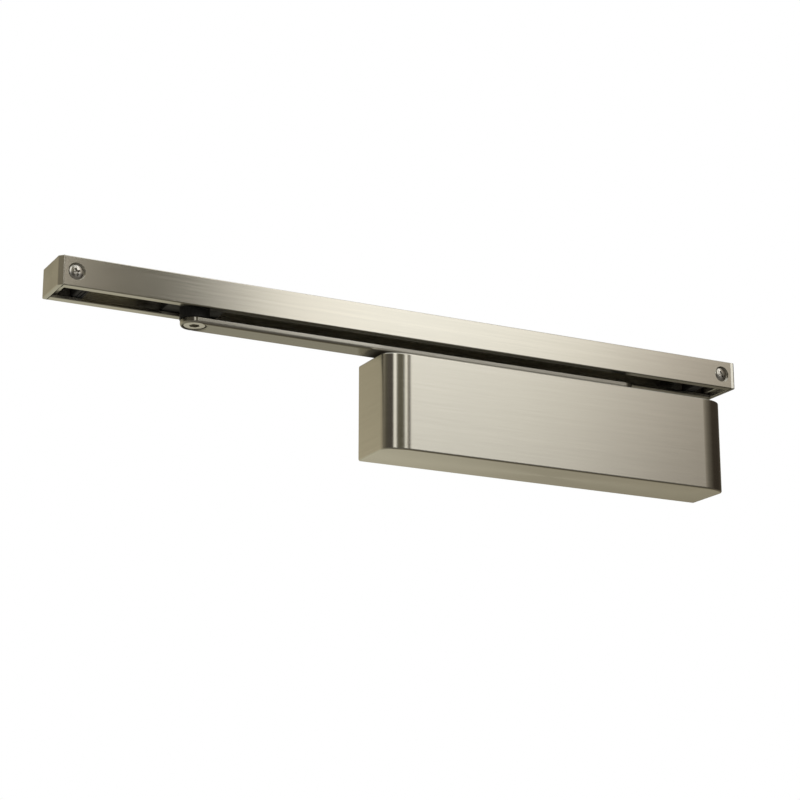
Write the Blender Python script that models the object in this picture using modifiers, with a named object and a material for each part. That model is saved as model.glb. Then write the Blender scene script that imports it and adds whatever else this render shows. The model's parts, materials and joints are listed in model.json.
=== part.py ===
"""Overhead track-arm door closer with its slide rail, at rest with the door shut.

Metres, +Z up, +X along the rail towards the hinge side of the door, +Y into the door.
The origin is the centre of the closer body's back face, the face that is screwed to the door.
"""

import math

import bmesh
import bpy
from mathutils import Matrix, Vector

GAP = 0.0003
CUT_PAST = 0.0010
ROUND = 24

# Closer body: the cover and the housing under it
COVER_LENGTH = 0.2390
COVER_DEPTH = 0.0371
COVER_HEIGHT = 0.0584
COVER_WALL = 0.0015
COVER_CORNER_ALONG = 0.0170
COVER_CORNER_DEEP = 0.0085
COVER_PLATE = 0.0012
CORNER_STEPS = 7
NOTCH_HALF_WIDTH = 0.0072
NOTCH_STEPS = 12
HOUSING_LENGTH = 0.2080
HOUSING_DEPTH = 0.0310
HOUSING_HEIGHT = 0.0510
EAR_LENGTH = 0.0100
EAR_DEPTH = 0.0100
EAR_SCREW_RISE = 0.0190
CLIP_PLACE = 0.0850
CLIP_HALF_WIDTH = 0.0050
CLIP_SHEET = 0.0005
CLIP_PATH = [(-0.005, 0.0006), (-0.013, 0.0006), (-0.018, 0.0018), (-0.022, 0.0007)]

# Spindle axis, shared by the cam, the arm and the rail's slot
SPINDLE_X = 0.0550
AXIS_Y = -0.0147

# Horizontal bore for the pistons and vertical bore for the spindle
BORE_RADIUS = 0.0126
FITTED_RADIUS = BORE_RADIUS - GAP
SPINDLE_BORE = 0.0130
GLAND_RADIUS = SPINDLE_BORE - GAP
JOURNAL_RADIUS = 0.0055
JOURNAL_HOLE = JOURNAL_RADIUS + GAP
BEARING_LOW = 0.0130
BEARING_HIGH = 0.0185
SEAL_RADIUS = 0.0080
SEAL_DEPTH = 0.0026
SPINDLE_FOOT = -0.0265
SPINDLE_SHOULDER = HOUSING_HEIGHT / 2 + 0.0008
RIM = 0.0004
SPANNER_HOLE = 0.0012
SPANNER_HOLE_DEPTH = 0.0025
GLAND_SPANNER_REACH = 0.0102
PLUG_SPANNER_REACH = 0.0082

# Heart cam: each radian of turn moves both rollers by CAM_RISE
ROLLER_RADIUS = 0.0050
ROLLER_NEAREST = 0.0109
CAM_RISE = 0.0020
CAM_HALF_HEIGHT = 0.0064
CAM_STEPS = 30
ROLLER_HALF_HEIGHT = 0.0060
ROLLER_PIN_RADIUS = 0.0020
ROLLER_PIN_HALF = 0.0106
TINE_REACH = 0.0034
SPRING_PISTON_LENGTH = 0.0300
DAMPER_PISTON_LENGTH = 0.0200
DAMPER_POCKET = 0.0060
DAMPER_POCKET_RADIUS = 0.0080
PISTON_EDGE = 0.0005

# Closing spring, its seat and the adjuster that moves the seat
SPRING_SEAT_FACE = -0.0800
SPRING_SEAT_THICKNESS = 0.0040
SPRING_RADIUS = 0.0096
SPRING_WIRE = 0.0016
SPRING_TURNS = 11
RETURN_RADIUS = 0.0060
RETURN_WIRE = 0.0008
RETURN_TURNS = 4
LEFT_PLUG = 0.0100
RIGHT_PLUG = 0.0080
ADJUSTER_RADIUS = 0.0030
ADJUSTER_HEAD = 0.0045
ADJUSTER_HEAD_HEIGHT = 0.0030
ADJUSTER_COLLAR = 0.0052
ADJUSTER_COLLAR_HEIGHT = 0.0020
ADJUSTER_LENGTH = 0.0340
SPRING_SEAT_BOSS = 0.0062
SPRING_SEAT_BOSS_HEIGHT = 0.0035

# Regulating valves
VALVE_RADIUS = 0.0028
VALVE_RISE = 0.0185
VALVE_DEPTH = -0.0235
VALVE_LENGTH = 0.0210
BACKCHECK_X = 0.0200
BACKCHECK_LENGTH = 0.0150

# Arm, from the spindle to the slider's pivot
ARM_REACH = 0.2857
ARM_HALF_WIDTH = 0.00823
ARM_BOTTOM = 0.03294
ARM_THICKNESS = 0.00375
ARM_TOP = ARM_BOTTOM + ARM_THICKNESS
ARM_EDGE = 0.0012
SQUARE_HALF = 0.0039
ARM_END_STEPS = 14
ARM_SCREW_RADIUS = 0.0025
ARM_SCREW_HEAD = 0.0050
ARM_SCREW_CROWN = 0.0028
ARM_SCREW_FOOT = 0.0258
PIVOT_X = SPINDLE_X - ARM_REACH
STUD_RADIUS = 0.0040
STUD_HEAD = 0.0068
STUD_TAPER = 0.0024

# Slide rail: a C section, open below
RAIL_LEFT = -0.3160
RAIL_LENGTH = 0.4500
RAIL_RIGHT = RAIL_LEFT + RAIL_LENGTH
RAIL_DEPTH = 0.0294
RAIL_HEIGHT = 0.01735
RAIL_BOTTOM = 0.04095
RAIL_TOP = RAIL_BOTTOM + RAIL_HEIGHT
RAIL_WALL = 0.0020
FRONT_LIP = 0.0049
BACK_LIP = 0.0057
END_CAP = 0.0029
CAP_PLUG = 0.0040
RAIL_SCREW_INSET = 0.0100
RAIL_SCREW_HEIGHT = RAIL_BOTTOM + RAIL_HEIGHT / 2
SCREW_RADIUS = 0.0024
SCREW_HOLE = 0.0029
SCREW_HEAD = 0.0046
SCREW_HEAD_DEPTH = 0.0020
CROSS_ARM = 0.0026
CROSS_HALF_WIDTH = 0.0005
CROSS_DEPTH = 0.0017
BUFFER_FROM_SCREW = 0.0055
BUFFER_LENGTH = 0.0065
RAIL_OUTER_ROUND = 0.0006
END_CAP_ROUND = 0.0022

# Slider inside the rail
SLIDER_LENGTH = 0.0340
SLIDER_WIDTH = 0.0244
SLIDER_CENTRE_Y = -0.0147
SLIDER_HEIGHT = 0.0077
SLIDER_NECK = 0.0086
BUSH_RADIUS = 0.0060

FINISHES = {
    "satin_nickel": ((0.66, 0.64, 0.57), 1.0, 0.28),
    "cast_aluminium": ((0.58, 0.59, 0.60), 0.9, 0.55),
    "bright_steel": ((0.70, 0.68, 0.64), 1.0, 0.22),
    "hardened_steel": ((0.42, 0.42, 0.43), 1.0, 0.30),
    "spring_steel": ((0.20, 0.21, 0.23), 0.9, 0.38),
    "brass": ((0.78, 0.60, 0.28), 1.0, 0.30),
    "bronze": ((0.62, 0.42, 0.24), 1.0, 0.40),
    "nylon": ((0.06, 0.06, 0.06), 0.0, 0.50),
    "rubber": ((0.03, 0.03, 0.03), 0.0, 0.80),
}


def empty_scene():
    """Remove every object and make the collections for the parts and the cutters."""
    for item in list(bpy.data.objects):
        bpy.data.objects.remove(item, do_unlink=True)
    made = []
    for name in ("door_closer", "cutters"):
        collection = bpy.data.collections.new(name)
        bpy.context.scene.collection.children.link(collection)
        made.append(collection)
    return made


PARTS, CUTTERS = empty_scene()


def material_for(name, finish):
    """One Principled material for one part, from the table of finishes."""
    colour, metallic, roughness = FINISHES[finish]
    material = bpy.data.materials.new(name + "_" + finish)
    material.use_nodes = True
    shader = material.node_tree.nodes["Principled BSDF"]
    shader.inputs["Base Color"].default_value = (*colour, 1.0)
    shader.inputs["Metallic"].default_value = metallic
    shader.inputs["Roughness"].default_value = roughness
    material.diffuse_color = (*colour, 1.0)
    return material


def make_part(name, mesh, finish, location=(0, 0, 0), rotation=(0, 0, 0)):
    """Put a mesh in the scene as a finished part."""
    item = bpy.data.objects.new(name, mesh)
    item.location = location
    item.rotation_euler = rotation
    mesh.materials.append(material_for(name, finish))
    PARTS.objects.link(item)
    return item


def make_cutter(name, mesh, location=(0, 0, 0), rotation=(0, 0, 0)):
    """Put a mesh in the scene as a hidden cutter."""
    item = bpy.data.objects.new(name, mesh)
    item.location = location
    item.rotation_euler = rotation
    item.hide_render = True
    item.display_type = "WIRE"
    CUTTERS.objects.link(item)
    return item


def smooth_round(mesh):
    """Shade curved faces smooth and keep the real edges sharp."""
    mesh.shade_smooth()
    mesh.set_sharp_from_angle(angle=math.radians(35))


def box_mesh(name, low, high):
    """A box between two corners."""
    work = bmesh.new()
    bmesh.ops.create_cube(work, size=1.0)
    size = [b - a for a, b in zip(low, high)]
    centre = [(a + b) / 2 for a, b in zip(low, high)]
    bmesh.ops.scale(work, vec=size, verts=work.verts)
    bmesh.ops.translate(work, vec=centre, verts=work.verts)
    mesh = bpy.data.meshes.new(name)
    work.to_mesh(mesh)
    work.free()
    return mesh


def rod_mesh(name, radius, low, high, segments=ROUND):
    """A round rod along its own Z axis."""
    work = bmesh.new()
    bmesh.ops.create_cone(
        work,
        cap_ends=True,
        segments=segments,
        radius1=radius,
        radius2=radius,
        depth=high - low,
    )
    bmesh.ops.translate(work, vec=(0, 0, (low + high) / 2), verts=work.verts)
    mesh = bpy.data.meshes.new(name)
    work.to_mesh(mesh)
    work.free()
    smooth_round(mesh)
    return mesh


def evaluated_mesh(item, name):
    """The mesh that an object's modifiers or curve settings make, with its caps welded."""
    bpy.context.view_layer.update()
    graph = bpy.context.evaluated_depsgraph_get()
    mesh = bpy.data.meshes.new_from_object(item.evaluated_get(graph))
    mesh.name = name
    work = bmesh.new()
    work.from_mesh(mesh)
    bmesh.ops.remove_doubles(work, verts=work.verts, dist=0.000005)
    bmesh.ops.recalc_face_normals(work, faces=work.faces)
    work.to_mesh(mesh)
    work.free()
    mesh.materials.clear()
    return mesh


def outline_mesh(name, loops, low, high):
    """A flat outline, holes included, filled and drawn out from low to high along Z."""
    curve = bpy.data.curves.new(name, "CURVE")
    curve.dimensions = "2D"
    curve.fill_mode = "BOTH"
    curve.extrude = (high - low) / 2
    for loop in loops:
        spline = curve.splines.new("POLY")
        spline.points.add(len(loop) - 1)
        for point, (x, y) in zip(spline.points, loop):
            point.co = (x, y, 0.0, 1.0)
        spline.use_cyclic_u = True
    item = bpy.data.objects.new(name, curve)
    CUTTERS.objects.link(item)
    mesh = evaluated_mesh(item, name)
    bpy.data.objects.remove(item, do_unlink=True)
    mesh.transform(Matrix.Translation((0, 0, (low + high) / 2)))
    smooth_round(mesh)
    return mesh


def turned_mesh(name, profile, ring=False, segments=ROUND):
    """Turn a profile of (radius, height) points, outer side from top to bottom, about Z."""
    mesh = bpy.data.meshes.new(name)
    verts = [(radius, 0.0, height) for radius, height in profile]
    edges = [(i, i + 1) for i in range(len(profile) - 1)]
    if ring:
        edges.append((len(profile) - 1, 0))
    mesh.from_pydata(verts, edges, [])
    item = bpy.data.objects.new(name, mesh)
    CUTTERS.objects.link(item)
    screw = item.modifiers.new("turn", "SCREW")
    screw.axis = "Z"
    screw.angle = 2 * math.pi
    screw.steps = segments
    screw.render_steps = segments
    screw.use_merge_vertices = True
    screw.merge_threshold = 0.00001
    made = evaluated_mesh(item, name)
    bpy.data.objects.remove(item, do_unlink=True)
    smooth_round(made)
    return made


def cut(item, cutter, operation="DIFFERENCE"):
    """Cut one object with another, or join them."""
    step = item.modifiers.new(cutter.name, "BOOLEAN")
    step.operation = operation
    step.solver = "EXACT"
    step.object = cutter


def bevel(item, width, segments, angle=40):
    """Round an object's sharp edges."""
    step = item.modifiers.new("rounded_edges", "BEVEL")
    step.width = width
    step.segments = segments
    step.limit_method = "ANGLE"
    step.angle_limit = math.radians(angle)


def fillet(points, radii, steps=3):
    """Round the corners of a closed outline, each with its own radius."""
    loop = []
    count = len(points)
    for i, radius in enumerate(radii):
        here = Vector(points[i])
        back = (Vector(points[i - 1]) - here).normalized()
        ahead = (Vector(points[(i + 1) % count]) - here).normalized()
        if radius == 0:
            loop.append(tuple(here))
            continue
        half = back.angle(ahead) / 2
        start = here + back * (radius / math.tan(half))
        end = here + ahead * (radius / math.tan(half))
        centre = here + (back + ahead).normalized() * (radius / math.sin(half))
        for j in range(steps + 1):
            spoke = (start - centre).lerp(end - centre, j / steps).normalized()
            loop.append(tuple(centre + spoke * radius))
    return loop


def cover_outline(inset=0.0, back=-GAP):
    """The cover's plan from its back left corner round the front, with elliptical corners."""
    half = COVER_LENGTH / 2 - inset
    front = -COVER_DEPTH + inset
    along = COVER_CORNER_ALONG - inset
    deep = COVER_CORNER_DEEP - inset
    left = []
    for i in range(CORNER_STEPS + 1):
        turn = math.pi / 2 * i / CORNER_STEPS
        x = -half + along * (1 - math.cos(turn))
        left.append((x, front + deep * (1 - math.sin(turn))))
    right = [(-x, y) for x, y in reversed(left)]
    return [(-half, back), *left, *right, (half, back)]


def build_cover():
    """The one-piece cover: a shallow pressing, open at the back and notched for the spindle."""
    top = COVER_HEIGHT / 2
    inside = top - COVER_PLATE
    mesh = outline_mesh("cover", [cover_outline()], -top, top)
    cover = make_part("cover", mesh, "satin_nickel")
    hollow = outline_mesh("cover_hollow", [cover_outline(COVER_WALL, CUT_PAST)], -inside, inside)
    cut(cover, make_cutter("cover_hollow", hollow))

    notch = [(SPINDLE_X + NOTCH_HALF_WIDTH, CUT_PAST)]
    for i in range(NOTCH_STEPS + 1):
        turn = -math.pi * i / NOTCH_STEPS
        x = SPINDLE_X + NOTCH_HALF_WIDTH * math.cos(turn)
        notch.append((x, AXIS_Y + NOTCH_HALF_WIDTH * math.sin(turn)))
    notch.append((SPINDLE_X - NOTCH_HALF_WIDTH, CUT_PAST))
    slot = outline_mesh("cover_notch", [notch], inside - CUT_PAST, top + CUT_PAST)
    cut(cover, make_cutter("cover_notch", slot))


def build_cover_clips():
    """Four bowed leaf clips that grip the cover's top and bottom, above and below the housing."""
    rise = HOUSING_HEIGHT / 2
    for name, x, side in (
        ("cover_clip_top_left", -CLIP_PLACE, 1),
        ("cover_clip_top_right", CLIP_PLACE, 1),
        ("cover_clip_bottom_left", -CLIP_PLACE, -1),
        ("cover_clip_bottom_right", CLIP_PLACE, -1),
    ):
        work = bmesh.new()
        left = x - CLIP_HALF_WIDTH
        verts = [work.verts.new((left, y, side * (rise + z))) for y, z in CLIP_PATH]
        edges = [work.edges.new(pair) for pair in zip(verts, verts[1:])]
        drawn = bmesh.ops.extrude_edge_only(work, edges=edges)["geom"]
        moved = [piece for piece in drawn if isinstance(piece, bmesh.types.BMVert)]
        bmesh.ops.translate(work, vec=(2 * CLIP_HALF_WIDTH, 0, 0), verts=moved)
        mesh = bpy.data.meshes.new(name)
        work.to_mesh(mesh)
        work.free()
        clip = make_part(name, mesh, "spring_steel")
        sheet = clip.modifiers.new("sheet", "SOLIDIFY")
        sheet.thickness = CLIP_SHEET
        sheet.offset = 0


def ear_places():
    """The four fixing holes in the housing's ears, as (x, z)."""
    x = (HOUSING_LENGTH + EAR_LENGTH) / 2
    return [(sx * x, sz * EAR_SCREW_RISE) for sx in (-1, 1) for sz in (-1, 1)]


def build_housing():
    """Cast block with an ear at each end, bored for the pistons, spindle, valves and screws."""
    half = HOUSING_LENGTH / 2
    ear = half + EAR_LENGTH
    rise = HOUSING_HEIGHT / 2
    mesh = box_mesh("housing", (-half, -HOUSING_DEPTH, -rise), (half, 0, rise))
    housing = make_part("housing", mesh, "cast_aluminium")
    mesh = box_mesh("housing_ears", (-ear, -EAR_DEPTH, -rise), (ear, 0, rise))
    cut(housing, make_cutter("housing_ears", mesh), "UNION")

    long_bore = rod_mesh("piston_bore", BORE_RADIUS, -ear - 0.001, ear + 0.001, segments=32)
    cut(housing, make_cutter("piston_bore", long_bore, (0, AXIS_Y, 0), (0, math.pi / 2, 0)))
    tall_bore = rod_mesh("spindle_bore", SPINDLE_BORE, -ear, ear, segments=32)
    cut(housing, make_cutter("spindle_bore", tall_bore, (SPINDLE_X, AXIS_Y, 0)))

    upright = (math.pi / 2, 0, 0)
    for number, (x, z) in enumerate(ear_places()):
        name = f"ear_hole_{number}"
        cut(housing, make_cutter(name, screw_hole_mesh(name, EAR_DEPTH), (x, -EAR_DEPTH, z), upright))

    valve = VALVE_RADIUS + GAP
    for name, z in (("closing_valve_hole", VALVE_RISE), ("latching_valve_hole", -VALVE_RISE)):
        mesh = rod_mesh(name, valve, -VALVE_LENGTH - GAP, 0.001, segments=20)
        cut(housing, make_cutter(name, mesh, (half, VALVE_DEPTH, z), (0, math.pi / 2, 0)))
    mesh = rod_mesh("backcheck_hole", valve, -BACKCHECK_LENGTH - GAP, 0.001, segments=20)
    place = (BACKCHECK_X, -HOUSING_DEPTH, VALVE_RISE)
    cut(housing, make_cutter("backcheck_hole", mesh, place, upright))


def screw_hole_mesh(name, depth):
    """A countersunk clearance hole, mouth up at height 0."""
    wide = SCREW_HEAD + GAP
    rim = -0.0006
    profile = [(0, 0.001), (wide, 0.001), (wide, rim), (SCREW_HOLE, rim - SCREW_HEAD_DEPTH)]
    profile += [(SCREW_HOLE, -depth - 0.001), (0, -depth - 0.001)]
    return turned_mesh(name, profile, segments=16)


def screw_mesh(name, length):
    """A countersunk screw, head up at height 0, ending in a short point."""
    top = -0.0002
    point = 0.0012
    profile = [(0, top), (SCREW_HEAD, top), (SCREW_HEAD, top - 0.0003)]
    profile += [(SCREW_RADIUS, -SCREW_HEAD_DEPTH - GAP), (SCREW_RADIUS, point - length)]
    profile += [(SCREW_RADIUS / 3, -length), (0, -length)]
    return turned_mesh(name, profile, segments=16)


def cut_cross(item, owner, place, rotation):
    """Cut a cross recess into a screw head whose top is at place."""
    long, short = CROSS_ARM, CROSS_HALF_WIDTH
    for number, (x, y) in enumerate(((long, short), (short, long))):
        name = f"{owner}_cross_{number}"
        mesh = box_mesh(name, (-x, -y, -CROSS_DEPTH), (x, y, 0.001))
        cut(item, make_cutter(name, mesh, place, rotation))


def cut_hexagon(item, owner, radius, depth, place, rotation=(0, 0, 0)):
    """Cut a hexagon socket, mouth up at place."""
    name = f"{owner}_socket"
    mesh = rod_mesh(name, radius, -depth, 0.001, segments=6)
    cut(item, make_cutter(name, mesh, place, rotation))


def cut_spanner_holes(item, reach, place, rotation):
    """Cut two blind holes for a pin spanner into a round face whose centre is at place."""
    for number, offset in enumerate((-reach, reach)):
        name = f"{item.name}_spanner_hole_{number}"
        mesh = rod_mesh(name, SPANNER_HOLE, -SPANNER_HOLE_DEPTH, 0.001, segments=12)
        mesh.transform(Matrix.Translation((0, offset, 0)))
        cut(item, make_cutter(name, mesh, place, rotation))


def build_housing_screws():
    """Four countersunk screws that hold the housing to the door."""
    upright = (math.pi / 2, 0, 0)
    for number, (x, z) in enumerate(ear_places(), 1):
        name = f"housing_screw_{number}"
        place = (x, -EAR_DEPTH, z)
        screw = make_part(name, screw_mesh(name, EAR_DEPTH - GAP), "bright_steel", place, upright)
        cut_cross(screw, name, place, upright)


def build_bearings_and_glands():
    """A bearing, a threaded gland and a lip seal at each end of the spindle."""
    gland_low = BEARING_HIGH + GAP
    gland_high = HOUSING_HEIGHT / 2
    pocket = gland_high - SEAL_DEPTH
    for side, sign in (("top", 1), ("bottom", -1)):
        turn = (0, 0, 0) if sign > 0 else (math.pi, 0, 0)
        place = (SPINDLE_X, AXIS_Y, 0)
        profile = [(GLAND_RADIUS, BEARING_HIGH), (GLAND_RADIUS, BEARING_LOW)]
        profile += [(JOURNAL_HOLE, BEARING_LOW), (JOURNAL_HOLE, BEARING_HIGH)]
        name = f"{side}_bearing"
        make_part(name, turned_mesh(name, profile, ring=True), "hardened_steel", place, turn)

        seat = SEAL_RADIUS + GAP
        profile = [(seat, gland_high), (GLAND_RADIUS - RIM, gland_high)]
        profile += [(GLAND_RADIUS, gland_high - RIM), (GLAND_RADIUS, gland_low)]
        profile += [(JOURNAL_HOLE, gland_low), (JOURNAL_HOLE, pocket), (seat, pocket)]
        name = f"{side}_gland"
        gland = make_part(name, turned_mesh(name, profile, ring=True), "bright_steel", place, turn)
        cut_spanner_holes(gland, GLAND_SPANNER_REACH, (SPINDLE_X, AXIS_Y, sign * gland_high), turn)

        profile = [(SEAL_RADIUS, gland_high - RIM), (SEAL_RADIUS, pocket + GAP)]
        profile += [(JOURNAL_HOLE, pocket + GAP), (JOURNAL_HOLE, gland_high - RIM)]
        name = f"{side}_spindle_seal"
        make_part(name, turned_mesh(name, profile, ring=True), "rubber", place, turn)


def cam_profile():
    """The heart cam's outline about its own axis, its hollow facing -X.

    The roller centres follow an even spiral, so both rollers always sit a roller's radius
    away from the outline and the distance between them never changes.
    """
    reach = ROLLER_RADIUS + GAP
    upper = []
    start = math.atan2(CAM_RISE, ROLLER_NEAREST)
    for i in range(4):
        turn = start * i / 4
        upper.append((-ROLLER_NEAREST + reach * math.cos(turn), reach * math.sin(turn)))
    for i in range(CAM_STEPS + 1):
        turn = math.pi * i / CAM_STEPS
        away = ROLLER_NEAREST + CAM_RISE * turn
        centre = Vector((-away * math.cos(turn), away * math.sin(turn)))
        run_x = -CAM_RISE * math.cos(turn) + away * math.sin(turn)
        run_y = CAM_RISE * math.sin(turn) + away * math.cos(turn)
        inward = Vector((run_y, -run_x)).normalized()
        point = centre + inward * reach
        if point.y > 0.0002:
            upper.append(tuple(point))
    last = upper[-1]
    nose = (last[0] + 0.00004, 0.0)
    lower = [(x, -y) for x, y in reversed(upper[1:])]
    return upper + [nose] + lower


def build_spindle():
    """Spindle with its heart cam, journals, and a square end for the arm."""
    square_top = ARM_TOP - 0.0002
    profile = [(0, SPINDLE_SHOULDER), (JOURNAL_RADIUS, SPINDLE_SHOULDER)]
    profile += [(JOURNAL_RADIUS, SPINDLE_FOOT + RIM), (JOURNAL_RADIUS - RIM, SPINDLE_FOOT)]
    profile.append((0, SPINDLE_FOOT))
    place = (SPINDLE_X, AXIS_Y, 0)
    mesh = turned_mesh("cam_spindle", profile)
    spindle = make_part("cam_spindle", mesh, "hardened_steel", place)
    mesh = outline_mesh("heart_cam", [cam_profile()], -CAM_HALF_HEIGHT, CAM_HALF_HEIGHT)
    cut(spindle, make_cutter("heart_cam", mesh, place), "UNION")
    low = (-SQUARE_HALF, -SQUARE_HALF, SPINDLE_SHOULDER - 0.0005)
    mesh = box_mesh("square_end", low, (SQUARE_HALF, SQUARE_HALF, square_top))
    cut(spindle, make_cutter("square_end", mesh, place), "UNION")
    thread = rod_mesh("arm_screw_hole", ARM_SCREW_RADIUS + GAP, ARM_SCREW_FOOT - 0.0013, square_top + 0.001)
    cut(spindle, make_cutter("arm_screw_hole", thread, place))


def build_piston(name, roller_x, side, length):
    """A piston with a fork for its roller. side is the way the piston lies from the spindle."""
    tip = TINE_REACH
    back = tip - length
    slot_end = -ROLLER_RADIUS - 2 * GAP
    edge = PISTON_EDGE
    profile = [(0, tip), (FITTED_RADIUS - edge, tip), (FITTED_RADIUS, tip - edge)]
    profile += [(FITTED_RADIUS, back + edge), (FITTED_RADIUS - edge, back), (0, back)]
    place = (roller_x, AXIS_Y, 0)
    lying = (0, -side * math.pi / 2, 0)
    piston = make_part(name, turned_mesh(name, profile), "hardened_steel", place, lying)
    tall = CAM_HALF_HEIGHT + GAP
    mesh = box_mesh(f"{name}_slot", (-tall, -0.014, slot_end), (tall, 0.014, tip + 0.001))
    cut(piston, make_cutter(f"{name}_slot", mesh, place, lying))
    mesh = rod_mesh(f"{name}_pin_hole", ROLLER_PIN_RADIUS + GAP, -0.014, 0.014, segments=20)
    cut(piston, make_cutter(f"{name}_pin_hole", mesh, place))
    return back


def build_roller(name, roller_x):
    """A roller on a pin across the piston's fork."""
    place = (roller_x, AXIS_Y, 0)
    tall = ROLLER_HALF_HEIGHT
    hole = ROLLER_PIN_RADIUS + GAP
    edge = 0.0004
    profile = [(ROLLER_RADIUS - edge, tall), (ROLLER_RADIUS, tall - edge)]
    profile += [(ROLLER_RADIUS, edge - tall), (ROLLER_RADIUS - edge, -tall)]
    profile += [(hole, -tall), (hole, tall)]
    make_part(name, turned_mesh(name, profile, ring=True), "bright_steel", place)
    pin = ROLLER_PIN_HALF
    mesh = rod_mesh(f"{name}_pin", ROLLER_PIN_RADIUS, -pin, pin, segments=20)
    make_part(f"{name}_pin", mesh, "hardened_steel", place)


def helix(start, end, radius, turns, wire, steps=12):
    """The points of a coil along X whose end turns lie flat against what they rest on."""
    low = start + wire
    span = end - start - 2 * wire
    flat = 2.1 * wire
    points = []
    for i in range(turns * steps + 1):
        turn = i / steps
        if turn <= 1:
            along = flat * turn
        elif turn >= turns - 1:
            along = span - flat * (turns - turn)
        else:
            along = flat + (span - 2 * flat) * (turn - 1) / (turns - 2)
        angle = 2 * math.pi * turn
        points.append((low + along, AXIS_Y + radius * math.cos(angle), radius * math.sin(angle)))
    return points


def build_spring(name, start, end, radius, turns, wire):
    """A coil spring of round wire between two faces."""
    curve = bpy.data.curves.new(name, "CURVE")
    curve.dimensions = "3D"
    curve.bevel_depth = wire
    curve.bevel_resolution = 2
    curve.use_fill_caps = True
    points = helix(start, end, radius, turns, wire)
    spline = curve.splines.new("POLY")
    spline.points.add(len(points) - 1)
    for point, place in zip(spline.points, points):
        point.co = (*place, 1.0)
    item = bpy.data.objects.new(name, curve)
    CUTTERS.objects.link(item)
    mesh = evaluated_mesh(item, name)
    bpy.data.objects.remove(item, do_unlink=True)
    smooth_round(mesh)
    make_part(name, mesh, "spring_steel")


def build_pistons_and_springs():
    """The spring side on the left of the spindle, the damper side on its right."""
    spring_roller = SPINDLE_X - ROLLER_NEAREST
    damper_roller = SPINDLE_X + ROLLER_NEAREST + CAM_RISE * math.pi
    back = build_piston("spring_piston", spring_roller, -1, SPRING_PISTON_LENGTH)
    build_roller("spring_roller", spring_roller)
    piston_face = spring_roller + back
    start = SPRING_SEAT_FACE + GAP
    build_spring("closing_spring", start, piston_face - GAP, SPRING_RADIUS, SPRING_TURNS, SPRING_WIRE)

    back = build_piston("damper_piston", damper_roller, 1, DAMPER_PISTON_LENGTH)
    build_roller("damper_roller", damper_roller)
    pocket = rod_mesh("damper_pocket", DAMPER_POCKET_RADIUS, -0.001, DAMPER_POCKET)
    face = damper_roller - back
    place = (face, AXIS_Y, 0)
    cut(PARTS.objects["damper_piston"], make_cutter("damper_pocket", pocket, place, (0, -math.pi / 2, 0)))
    plug_face = HOUSING_LENGTH / 2 - RIGHT_PLUG
    start = face - DAMPER_POCKET + GAP
    build_spring("return_spring", start, plug_face - GAP, RETURN_RADIUS, RETURN_TURNS, RETURN_WIRE)


def build_plug(name, length, side, hole):
    """A threaded end plug with a groove for its ring seal; its outer face is at height 0."""
    groove = length / 2
    wide = 0.0013
    deep = FITTED_RADIUS - 0.0020
    edge = 0.0005
    profile = [(hole, 0), (FITTED_RADIUS - edge, 0), (FITTED_RADIUS, -edge)]
    profile += [(FITTED_RADIUS, wide - groove), (deep, wide - groove)]
    profile += [(deep, -groove - wide), (FITTED_RADIUS, -groove - wide)]
    profile += [(FITTED_RADIUS, -length), (hole, -length)]
    mesh = turned_mesh(name, profile, ring=hole > 0)
    place = (side * HOUSING_LENGTH / 2, AXIS_Y, 0)
    lying = (0, side * math.pi / 2, 0)
    plug = make_part(name, mesh, "bright_steel", place, lying)

    section = 0.0008
    middle = deep + GAP + section
    points = []
    for i in range(6):
        turn = -2 * math.pi * i / 6
        points.append((middle + section * math.cos(turn), section * math.sin(turn) - groove))
    seal_name = f"{name}_o_ring"
    seal = turned_mesh(seal_name, points, ring=True)
    make_part(seal_name, seal, "rubber", place, lying)
    return plug, place, lying


def build_plugs():
    """The plug under the adjuster on the left, and the blind plug on the right."""
    plug, place, lying = build_plug("spring_plug", LEFT_PLUG, -1, ADJUSTER_RADIUS + GAP)
    cut_spanner_holes(plug, PLUG_SPANNER_REACH, place, lying)
    plug, place, lying = build_plug("damper_plug", RIGHT_PLUG, 1, 0)
    cut_hexagon(plug, "damper_plug", 0.0058, 0.0022, place, lying)


def build_adjuster():
    """Spring power adjuster: a screw through the left plug, and the spring seat that it moves."""
    outer = -HOUSING_LENGTH / 2
    head = ADJUSTER_HEAD
    tall = ADJUSTER_HEAD_HEIGHT
    shank = ADJUSTER_RADIUS
    collar = ADJUSTER_COLLAR
    near = -LEFT_PLUG - GAP
    far = near - ADJUSTER_COLLAR_HEIGHT
    end = -ADJUSTER_LENGTH
    profile = [(0, tall), (head, tall), (head, GAP), (shank, GAP), (shank, near)]
    profile += [(collar, near), (collar, far), (shank, far), (shank, end), (0, end)]
    place = (outer, AXIS_Y, 0)
    lying = (0, -math.pi / 2, 0)
    mesh = turned_mesh("spring_adjuster", profile, segments=24)
    adjuster = make_part("spring_adjuster", mesh, "bright_steel", place, lying)
    cut_hexagon(adjuster, "spring_adjuster", 0.0029, 0.0025, (outer - tall, AXIS_Y, 0), lying)

    boss = SPRING_SEAT_BOSS
    reach = SPRING_SEAT_BOSS_HEIGHT
    back = -SPRING_SEAT_THICKNESS
    hole = ADJUSTER_RADIUS + GAP
    profile = [(boss, reach), (boss, 0), (FITTED_RADIUS, 0), (FITTED_RADIUS, back)]
    profile += [(hole, back), (hole, reach)]
    mesh = turned_mesh("spring_seat", profile, ring=True)
    make_part("spring_seat", mesh, "bright_steel", (SPRING_SEAT_FACE, AXIS_Y, 0), (0, math.pi / 2, 0))


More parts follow.
